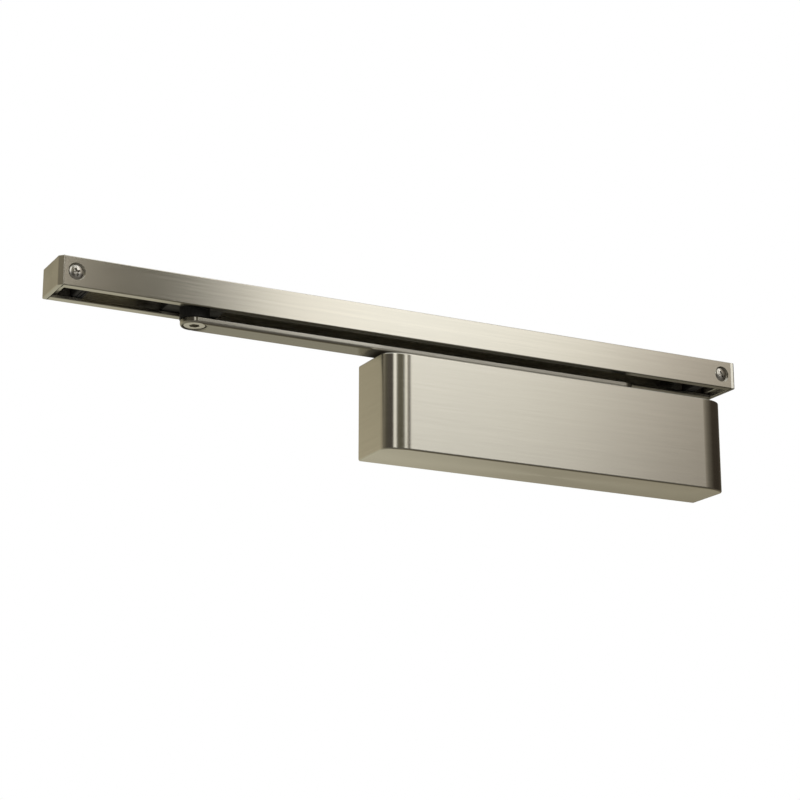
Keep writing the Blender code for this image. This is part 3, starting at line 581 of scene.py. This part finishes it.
def cover_plan(distance=0.0, back=None):
    """The cover seen from above, from its back left corner round its front, drawn in evenly."""
    bottom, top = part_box("cover")
    half = (top.x - bottom.x) / 2 - distance
    front = bottom.y + distance
    along = COVER_CORNER_ALONG - distance
    deep = COVER_CORNER_DEEP - distance
    left = []
    for i in range(CORNER_STEPS + 1):
        facing = math.pi / 2 * i / CORNER_STEPS
        turn = math.atan2(deep * math.sin(facing), along * math.cos(facing))
        left.append((-half + along * (1 - math.cos(turn)), front + deep * (1 - math.sin(turn))))
    right = [(-x, y) for x, y in reversed(left)]
    back = top.y if back is None else back
    return [(-half, back), *left, *right, (half, back)]


def spindle_notch(start, end):
    """A cutter for the slot that lets the cover slide over the spindle."""
    gland = middle("top_gland")
    notch = [(gland.x + NOTCH_HALF_WIDTH, CUT_PAST)]
    for i in range(FINE // 2 + 1):
        turn = -math.pi * i / (FINE // 2)
        x = gland.x + NOTCH_HALF_WIDTH * math.cos(turn)
        notch.append((x, gland.y + NOTCH_HALF_WIDTH * math.sin(turn)))
    notch.append((gland.x - NOTCH_HALF_WIDTH, CUT_PAST))
    return drawn(notch, [(start, 0), (end, 0)])


def build_cover():
    """The one-piece pressed cover: soft rounded edges all round, open and flat at the back."""
    bottom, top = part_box("cover")
    shell = drawn(cover_plan(), rim_levels(bottom.z, top.z, COVER_EDGE, COVER_EDGE))
    flat_band = COVER_EDGE * 1.2
    for vert in shell.verts:
        if vert.co.y > top.y - flat_band:
            vert.co.y = top.y
    floor, ceiling = bottom.z + COVER_PLATE, top.z - COVER_PLATE
    hollow = drawn(cover_plan(COVER_WALL, CUT_PAST), [(floor, 0), (ceiling, 0)])
    notch = spindle_notch(ceiling - CUT_PAST, top.z + CUT_PAST)
    finished(combine(as_object("cover_pressing", shell), [hollow, notch]), "cover")


# ---------------------------------------------------------------- rail


def rail_section():
    """The rail's C section as (y, z), its outer edges and lips rounded."""
    bottom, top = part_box("slide_rail")
    front, back = bottom.y, top.y
    front_inside, back_inside = front + RAIL_WALL, back - RAIL_WALL
    floor, ceiling = bottom.z + RAIL_WALL, top.z - RAIL_WALL
    front_lip, back_lip = front + RAIL_FRONT_LIP, back - RAIL_BACK_LIP
    points = [(front, top.z), (front, bottom.z), (front_lip, bottom.z), (front_lip, floor)]
    points += [(front_inside, floor), (front_inside, ceiling)]
    points += [(back_inside, ceiling), (back_inside, floor)]
    points += [(back_lip, floor), (back_lip, bottom.z), (back, bottom.z), (back, top.z)]
    outer, lip, inner = RAIL_ROUND, RAIL_LIP_ROUND, RAIL_INNER_ROUND
    radii = [outer, outer, lip, lip, inner, inner, inner, inner, lip, lip, outer, outer]
    return rounded_loop(points, radii)


def countersink(depth):
    """A cutter for a countersunk hole, mouth up at height 0, its rim broken by a small chamfer.

    The last stretch fits snugly round the screw."""
    mouth, hole, snug = 0.0049, 0.0029, 0.00245
    chamfer_width, chamfer_depth = 0.0012, 0.0002
    cone_start, cone_end, snug_start = 0.0006, 0.0026, 0.0120
    profile = [(0, CUT_PAST), (mouth + chamfer_width, CUT_PAST), (mouth, -chamfer_depth)]
    profile += [(mouth, -cone_start), (hole, -cone_end), (hole, -snug_start)]
    profile += [(snug, -snug_start - chamfer_depth), (snug, -depth), (0, -depth)]
    return turned(profile)


def rail_screws():
    """The two rail screws' nodes with where their heads stand."""
    for node in ("left_rail_screw", "right_rail_screw"):
        yield node, Vector((middle(node).x, low("slide_rail").y, middle(node).z))


def build_rail():
    """The extruded rail with its two countersunk holes, reaching nearly to its end caps."""
    bottom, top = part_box("slide_rail")
    start, end = bottom.x - RAIL_REACH, top.x + RAIL_REACH
    section = drawn(rail_section(), rim_levels(start, end, RAIL_END_ROUND, RAIL_END_ROUND, 2))
    rail = as_object("rail_extrusion", place(section, ALONG_X))
    depth = top.y - bottom.y + CUT_PAST
    cutters = [place(countersink(depth), at(*spot) @ FACING_OUT) for _, spot in rail_screws()]
    finished(combine(rail, cutters), "slide_rail")


def cap_plan(side):
    """An end cap seen from above: the left one's front corner is cut away softly at 45 degrees."""
    bottom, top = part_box(f"{side}_end_cap")
    if side == "left":
        outside, inside = bottom.x, bottom.x + CAP_THICKNESS
        corners = [(outside, top.y), (outside, bottom.y + CAP_CHAMFER)]
        corners += [(outside + CAP_CHAMFER, bottom.y), (inside, bottom.y), (inside, top.y)]
        radii = [CAP_ROUND, CAP_ROUND, CAP_CHAMFER_ROUND, CAP_JOINT_ROUND, CAP_JOINT_ROUND]
    else:
        outside, inside = top.x, top.x - CAP_THICKNESS
        corners = [(outside, top.y), (outside, bottom.y)]
        corners += [(inside, bottom.y + CAP_LEAN), (inside, top.y)]
        radii = [CAP_ROUND, CAP_FRONT_ROUND, CAP_JOINT_ROUND, CAP_JOINT_ROUND]
    return rounded_loop(corners, radii, 8)


def build_end_caps():
    """The moulded metal caps with softened edges, and the plugs that hold them in the rail."""
    for side in ("left", "right"):
        node = f"{side}_end_cap"
        bottom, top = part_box(node)
        cap = drawn(cap_plan(side), rim_levels(bottom.z, top.z, CAP_RIM, CAP_RIM))
        left, right = bottom.x, top.x
        if side == "left":
            left += CAP_THICKNESS / 2
        else:
            right -= CAP_THICKNESS / 2
        plug = block(
            Vector((left, bottom.y + PLUG_INSET, bottom.z + PLUG_INSET)),
            Vector((right, top.y - PLUG_INSET, top.z - PLUG_INSET)),
            PLUG_ROUND,
        )
        finished(combine(as_object(f"{side}_cap", cap), [plug], "UNION"), node)


def screw_profile(length):
    """Half the outline of a countersunk screw: a slightly crowned head, a cone and a thread."""
    cone_start, cone_end = 0.0012, 0.0023
    pitch, thread_depth, thread_start, unthreaded = 0.0010, 0.00035, 0.0028, 0.0045
    point = 0.0012
    profile = [(0, -SCREW_SUNK), (0.0018, -0.00028), (0.0032, -0.00052), (0.0041, -0.00082)]
    profile += [(SCREW_HEAD - 0.0001, -0.00105), (SCREW_HEAD, -cone_start)]
    profile += [(SCREW_SHANK, -cone_end)]
    for i in range(int((length - unthreaded) / pitch)):
        start = -thread_start - pitch * i
        profile += [(SCREW_SHANK, start), (SCREW_SHANK - thread_depth, start - pitch / 2)]
    profile += [(SCREW_SHANK, point - length), (SCREW_SHANK / 3, -length), (0, -length)]
    return profile


def cross_recess(head):
    """Cutters for a cross recess in a head: two wings, each smaller at its bottom."""
    mouth = (0.0030, 0.0007, 0.0006)
    bottom = (0.0011, 0.0004, -0.0019)
    wings = []
    for turn in (0, math.pi / 2):
        wing = bmesh.new()
        for vert in bmesh.ops.create_cube(wing, size=2.0)["verts"]:
            half_length, half_width, height = bottom if vert.co.z < 0 else mouth
            vert.co = (vert.co.x * half_length, vert.co.y * half_width, height)
        skewed = head @ Matrix.Rotation(SCREW_TURN, 4, "Z")
        wings.append(place(wing, skewed @ Matrix.Rotation(turn, 4, "Z")))
    return wings


def build_screws():
    """Countersunk cross screws in the rail and in the housing's ears."""
    spots = list(rail_screws())
    for number in range(1, 5):
        node = f"housing_screw_{number}"
        spots.append((node, Vector((middle(node).x, low(node).y - SCREW_SUNK, middle(node).z))))
    for node, spot in spots:
        head = at(*spot) @ FACING_OUT
        work = turned(screw_profile(high(node).y - spot.y), SCREW_STEPS)
        screw = as_object(f"{node}_fine", place(work, head))
        finished(combine(screw, cross_recess(head)), node)


def build_buffers():
    """Rubber end stops, softly rounded, with two grooves across."""
    groove_half, groove_depth, groove_round = 0.0004, 0.0008, 0.0002
    for side in ("left", "right"):
        node = f"{side}_buffer"
        bottom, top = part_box(node)
        buffer = as_object(f"{side}_rubber_stop", block(bottom, top, BUFFER_ROUND))
        grooves = []
        for share in (0.33, 0.67):
            x = bottom.x + (top.x - bottom.x) * share
            start = Vector((x - groove_half, bottom.y - CUT_PAST, bottom.z - CUT_PAST))
            end = Vector((x + groove_half, top.y + CUT_PAST, bottom.z + groove_depth))
            grooves.append(block(start, end, groove_round))
        finished(combine(buffer, grooves), node)


# ---------------------------------------------------------------- arm and slider


def arm_plan():
    """The arm seen from above, a bar with two round ends."""
    bottom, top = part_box("arm")
    radius = (top.y - bottom.y) / 2
    y = (top.y + bottom.y) / 2
    loop = []
    for x, start in ((top.x - radius, -math.pi / 2), (bottom.x + radius, math.pi / 2)):
        for i in range(FINE // 2 + 1):
            turn = start + math.pi * i / (FINE // 2)
            loop.append((x + radius * math.cos(turn), y + radius * math.sin(turn)))
    return loop


def build_arm():
    """The flat arm, well rounded below, with its square hole and its countersunk pivot hole."""
    bottom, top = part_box("arm")
    work = drawn(arm_plan(), rim_levels(bottom.z, top.z, ARM_LOWER_ROUND, ARM_UPPER_ROUND))
    arm = as_object("arm_bar", work)
    spindle = middle("top_gland")
    past = 2 * CUT_PAST
    square = block(
        Vector((spindle.x - SQUARE_HALF, spindle.y - SQUARE_HALF, bottom.z - past)),
        Vector((spindle.x + SQUARE_HALF, spindle.y + SQUARE_HALF, top.z + past)),
        0.0003,
    )
    pivot = middle("pivot_stud")
    mouth, rim, under = 0.0071, 0.0082, -0.0004
    above, cone_end, cone_start, rim_end = 0.0060, 0.0027, 0.0014, 0.0007
    profile = [(0, above), (PIVOT_HOLE, above), (PIVOT_HOLE, cone_end), (mouth, cone_start)]
    profile += [(mouth, rim_end), (rim, under), (0, under)]
    hole = place(turned(profile), at(pivot.x, pivot.y, bottom.z))
    finished(combine(arm, [square, hole]), "arm")


def hexagon(radius, depth):
    """A cutter for a hexagon socket, mouth up at height 0."""
    turns = [math.pi * i / 3 for i in range(6)]
    loop = [(radius * math.cos(turn), radius * math.sin(turn)) for turn in turns]
    return drawn(loop, [(-depth, 0), (CUT_PAST, 0)])


def build_arm_screw():
    """The button-headed screw that clamps the arm on the spindle."""
    bottom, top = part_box("arm_screw")
    head = (top.x - bottom.x) / 2
    under = high("arm").z + GAP
    crown, slope, shank = head * 0.62, 0.0016, 0.0025
    socket_radius, socket_depth = 0.0023, 0.0020
    profile = [(0, top.z), (crown, top.z), (head, top.z - slope), (head, under)]
    profile += [(shank, under), (shank, bottom.z), (0, bottom.z)]
    profile = rounded_profile(profile, [0, 0.0004, 0.0007, 0.0003, 0, 0.0004, 0])
    spot = middle("arm_screw")
    screw = as_object("arm_fixing_screw", place(turned(profile), at(spot.x, spot.y, 0)))
    socket = place(hexagon(socket_radius, socket_depth), at(spot.x, spot.y, top.z))
    finished(combine(screw, [socket]), "arm_screw")


def build_pivot():
    """The pivot stud, with a hexagon socket in its countersunk foot."""
    bottom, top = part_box("pivot_stud")
    spot = middle("pivot_stud")
    sunk = bottom.z + PIVOT_SUNK
    cone_start, cone_end = bottom.z + 0.0011, bottom.z + 0.0023
    socket_radius, socket_depth = 0.0032, 0.0024
    profile = [(0, top.z), (PIVOT_SHANK, top.z), (PIVOT_SHANK, cone_end), (PIVOT_FOOT, cone_start)]
    profile += [(PIVOT_FOOT, sunk), (0, sunk)]
    profile = rounded_profile(profile, [0, 0.0004, 0, 0.0001, 0.0003, 0])
    stud = as_object("pivot_pin", place(turned(profile), at(spot.x, spot.y, 0)))
    socket = hexagon(socket_radius, socket_depth)
    place(socket, at(spot.x, spot.y, sunk) @ UPSIDE_DOWN)
    finished(combine(stud, [socket]), "pivot_stud")


def build_pivot_rings():
    """The circlip on the stud and the slider's bush, both with broken edges."""
    for node, name in (("pivot_circlip", "circlip"), ("slider_bush", "bush")):
        bottom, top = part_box(node)
        radius = (top.x - bottom.x) / 2
        edge = min(0.0002, (top.z - bottom.z) / 4)
        profile = [(radius - edge, top.z), (radius, top.z - edge), (radius, bottom.z + edge)]
        profile += [(radius - edge, bottom.z), (PIVOT_HOLE + edge, bottom.z)]
        profile += [(PIVOT_HOLE, bottom.z + edge), (PIVOT_HOLE, top.z - edge)]
        profile += [(PIVOT_HOLE + edge, top.z)]
        ring = place(turned(profile), at(middle(node).x, middle(node).y, 0))
        finished(as_object(f"pivot_{name}_fine", ring), node)


def build_slider():
    """The nylon slide block with softened corners, its round neck, and the bore for its bush."""
    bottom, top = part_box("slider_block")
    centre = at(middle("slider_block").x, middle("slider_block").y, 0)
    block_low = low("slide_rail").z + RAIL_WALL + GAP
    corners = [(bottom.x, bottom.y), (top.x, bottom.y), (top.x, top.y), (bottom.x, top.y)]
    plan = rounded_loop(corners, [SLIDER_CORNER] * 4, 10)
    body = drawn(plan, rim_levels(block_low, top.z, SLIDER_RIM, SLIDER_RIM))
    slider = as_object("slide_block", body)
    neck = rod(SLIDER_NECK, bottom.z, block_low + 2 * CUT_PAST)
    combine(slider, [place(neck, centre)], "UNION")
    bore = rod(SLIDER_BORE, bottom.z - CUT_PAST, top.z + CUT_PAST)
    finished(combine(slider, [place(bore, centre)]), "slider_block")


# ---------------------------------------------------------------- inner pieces


def wire_advance(turn, turns, span, closed):
    """How far along its spring the wire has come: its first and last turns lie closed."""
    if turn <= 1:
        return closed * turn
    if turn >= turns - 1:
        return span - closed * (turns - turn)
    return closed + (span - 2 * closed) * (turn - 1) / (turns - 2)


def wire_coil(node, name, turns, wire):
    """A coil spring of round wire along X, filling its node's box."""
    bottom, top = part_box(node)
    centre = (bottom + top) / 2
    radius = (top.z - bottom.z) / 2 - wire
    start = bottom.x + wire
    span = top.x - bottom.x - 2 * wire
    curve = bpy.data.curves.new(name, "CURVE")
    curve.dimensions = "3D"
    curve.bevel_depth = wire
    curve.bevel_resolution = 3
    curve.use_fill_caps = True
    spline = curve.splines.new("POLY")
    spline.points.add(turns * COIL_STEPS)
    for i, point in enumerate(spline.points):
        turn = i / COIL_STEPS
        angle = 2 * math.pi * turn
        x = start + wire_advance(turn, turns, span, CLOSED_PITCH * wire)
        y = centre.y + radius * math.cos(angle)
        point.co = (x, y, centre.z + radius * math.sin(angle), 1.0)
    guide = bpy.data.objects.new(f"{name}_guide", curve)
    bpy.context.scene.collection.objects.link(guide)
    bpy.context.view_layer.update()
    graph = bpy.context.evaluated_depsgraph_get()
    mesh = bpy.data.meshes.new_from_object(guide.evaluated_get(graph))
    bpy.data.objects.remove(guide, do_unlink=True)
    coil = bpy.data.objects.new(name, mesh)
    bpy.context.scene.collection.objects.link(coil)
    return finished(coil, node)


def build_springs():
    """Both coil springs; the closing spring, which shortens as the arm's half turn lifts its piston
    in the real closer, gets a mesh of its own.
    """
    coil = wire_coil("closing_spring", "closing_coil", CLOSING_TURNS, CLOSING_WIRE)
    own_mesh(coil)
    wire_coil("return_spring", "return_coil", RETURN_TURNS, RETURN_WIRE)


def build_inner_pieces():
    """Every other node as a smooth-shaded copy of its solid, with its flat faces made whole."""
    shown = [node for node in frame["nodes"] if not frame["nodes"][node].hide_render]
    for node in sorted(shown):
        work = bmesh.new()
        work.from_mesh(frame["nodes"][node].data)
        bmesh.ops.remove_doubles(work, verts=work.verts, dist=2 * SAME_POINT)
        bmesh.ops.dissolve_limit(
            work, angle_limit=FLAT_ANGLE, verts=work.verts, edges=work.edges
        )
        finished(as_object(f"{node}_fine", work), node)


# ---------------------------------------------------------------- studio


def build_floor():
    """A plain pale floor far below, because the closer hangs high on a door."""
    work = bmesh.new()
    bmesh.ops.create_grid(work, x_segments=1, y_segments=1, size=FLOOR_HALF)
    floor = as_object("studio_floor", place(work, at(0, 0, CAD_BOX[0].z - FLOOR_DROP)))
    material = bpy.data.materials.new("studio_floor")
    material.use_nodes = True
    shader = material.node_tree.nodes["Principled BSDF"]
    shader.inputs["Base Color"].default_value = (0.90, 0.90, 0.89, 1.0)
    shader.inputs["Roughness"].default_value = 0.9
    floor.data.materials.append(material)
    floor.visible_glossy = False


# Light by bearing in degrees: 0 lies straight in front of the closer, 90 towards +X
HORIZON = [
    (-180, (0.42, 0.38, 0.28)),
    (-150, (0.42, 0.38, 0.28)),
    (-112, (0.36, 0.32, 0.24)),
    (-80, (0.20, 0.18, 0.14)),
    (-60, (0.09, 0.08, 0.06)),
    (-40, (0.07, 0.06, 0.05)),
    (-25, (0.07, 0.06, 0.05)),
    (-19, (1.15, 1.12, 1.05)),
    (-14, (1.15, 1.12, 1.05)),
    (-9, (0.14, 0.13, 0.10)),
    (3, (0.10, 0.09, 0.06)),
    (9, (0.16, 0.15, 0.12)),
    (12, (1.30, 1.28, 1.20)),
    (14, (1.30, 1.28, 1.20)),
    (17, (0.40, 0.36, 0.31)),
    (19, (0.08, 0.07, 0.05)),
    (21.8, (0.03, 0.03, 0.02)),
    (24.3, (1.08, 1.04, 0.98)),
    (28, (1.06, 1.05, 1.02)),
    (32.5, (1.04, 1.01, 0.95)),
    (35.5, (0.56, 0.51, 0.46)),
    (38, (0.38, 0.34, 0.29)),
    (46, (0.19, 0.17, 0.14)),
    (62, (0.05, 0.04, 0.03)),
    (110, (0.06, 0.05, 0.04)),
    (135, (0.30, 0.28, 0.22)),
    (180, (0.42, 0.38, 0.28)),
]
BELOW = [
    (-180, (0.55, 0.53, 0.42)),
    (-100, (0.30, 0.28, 0.22)),
    (-40, (0.16, 0.15, 0.13)),
    (30, (0.16, 0.15, 0.13)),
    (60, (0.07, 0.06, 0.05)),
    (120, (0.16, 0.14, 0.10)),
    (144, (0.30, 0.27, 0.20)),
    (153, (0.52, 0.49, 0.39)),
    (165, (0.57, 0.55, 0.44)),
]
ABOVE = (0.80, 0.80, 0.78, 1.0)
BACKDROP = (1.0, 1.0, 1.0, 1.0)

# Heights on the unit sphere between which one light turns into the next
BELOW_BAND = (0.02, -0.14)
RISE_BAND = (0.14, 0.40)
ABOVE_BAND = (0.60, 0.90)
BEHIND_BAND = (-0.2, 0.2)

# The horizon's level at its foot, and how much it gains up to the end of the rise
LEVEL_IN_FRONT = (0.3, 1.4)
LEVEL_BEHIND = (1.35, -0.7)


def bearing_ramp(tree, bearing, stops):
    """A colour ramp over the bearing, from its list of stops."""
    ramp = tree.nodes.new("ShaderNodeValToRGB")
    elements = ramp.color_ramp.elements
    while len(elements) > 1:
        elements.remove(elements[0])
    elements[0].position = 0.0
    for number, (bearing_in_degrees, colour) in enumerate(stops):
        position = (bearing_in_degrees + 180) / 360
        element = elements[0] if number == 0 else elements.new(position)
        element.color = (*colour, 1.0)
    tree.links.new(bearing, ramp.inputs["Fac"])
    return ramp.outputs["Color"]


def build_studio():
    """Soft light all round, in strips and panels along the horizon, with a broad panel above.

    The camera itself sees a white backdrop."""
    world = bpy.data.worlds.new("studio")
    bpy.context.scene.world = world
    world.use_nodes = True
    tree = world.node_tree
    tree.nodes.clear()

    def math_node(operation, *inputs):
        node = tree.nodes.new("ShaderNodeMath")
        node.operation = operation
        for socket, value in zip(node.inputs, inputs):
            if isinstance(value, (int, float)):
                socket.default_value = value
            else:
                tree.links.new(value, socket)
        return node.outputs["Value"]

    def blend(factor, first, second):
        node = tree.nodes.new("ShaderNodeMix")
        node.data_type = "RGBA"
        tree.links.new(factor, node.inputs["Factor"])
        for socket, value in ((node.inputs[6], first), (node.inputs[7], second)):
            if isinstance(value, tuple):
                socket.default_value = value
            else:
                tree.links.new(value, socket)
        return node.outputs[2]

    def smooth_step(value, start, stop):
        node = tree.nodes.new("ShaderNodeMapRange")
        node.interpolation_type = "SMOOTHSTEP"
        node.inputs["From Min"].default_value = start
        node.inputs["From Max"].default_value = stop
        tree.links.new(value, node.inputs["Value"])
        return node.outputs["Result"]

    def blend_value(factor, first, second):
        node = tree.nodes.new("ShaderNodeMix")
        for socket, value in zip(node.inputs[:1] + node.inputs[2:4], (factor, first, second)):
            tree.links.new(value, socket)
        return node.outputs["Result"]

    direction = tree.nodes.new("ShaderNodeTexCoord")
    split = tree.nodes.new("ShaderNodeSeparateXYZ")
    tree.links.new(direction.outputs["Generated"], split.inputs["Vector"])
    ahead = math_node("MULTIPLY", split.outputs["Y"], -1.0)
    angle = math_node("ARCTAN2", split.outputs["X"], ahead)
    bearing = math_node("MULTIPLY_ADD", angle, 0.5 / math.pi, 0.5)
    horizon = bearing_ramp(tree, bearing, HORIZON)
    below = bearing_ramp(tree, bearing, BELOW)
    lower = smooth_step(split.outputs["Z"], *BELOW_BAND)
    upper = smooth_step(split.outputs["Z"], *ABOVE_BAND)
    rise = smooth_step(split.outputs["Z"], *RISE_BAND)
    in_front, behind = (
        math_node("MULTIPLY_ADD", rise, gain, foot) for foot, gain in (LEVEL_IN_FRONT, LEVEL_BEHIND)
    )
    level = blend_value(smooth_step(split.outputs["Y"], *BEHIND_BAND), in_front, behind)
    raised = tree.nodes.new("ShaderNodeVectorMath")
    raised.operation = "SCALE"
    tree.links.new(horizon, raised.inputs[0])
    tree.links.new(level, raised.inputs["Scale"])
    light = blend(upper, blend(lower, raised.outputs["Vector"], below), ABOVE)

    lamps = tree.nodes.new("ShaderNodeBackground")
    tree.links.new(light, lamps.inputs["Color"])
    backdrop = tree.nodes.new("ShaderNodeBackground")
    backdrop.inputs["Color"].default_value = BACKDROP
    ray = tree.nodes.new("ShaderNodeLightPath")
    choose = tree.nodes.new("ShaderNodeMixShader")
    output = tree.nodes.new("ShaderNodeOutputWorld")
    tree.links.new(ray.outputs["Is Camera Ray"], choose.inputs["Fac"])
    tree.links.new(lamps.outputs["Background"], choose.inputs[1])
    tree.links.new(backdrop.outputs["Background"], choose.inputs[2])
    tree.links.new(choose.outputs["Shader"], output.inputs["Surface"])


def build_camera():
    """The photograph's viewpoint: below the closer and to its left."""
    data = bpy.data.cameras.new("camera")
    data.lens = CAMERA_LENS
    data.sensor_width = SENSOR_WIDTH
    camera = bpy.data.objects.new("camera", data)
    camera.location = CAMERA_PLACE
    camera.rotation_euler = (CAMERA_TARGET - CAMERA_PLACE).to_track_quat("-Z", "Y").to_euler()
    bpy.context.scene.collection.objects.link(camera)
    bpy.context.scene.camera = camera
    bpy.context.scene.view_settings.view_transform = "Standard"


build_camera()
build_studio()
build_floor()
build_cover()
build_rail()
build_end_caps()
build_screws()
build_buffers()
build_arm()
build_arm_screw()
build_pivot()
build_pivot_rings()
build_slider()
build_springs()
build_inner_pieces()
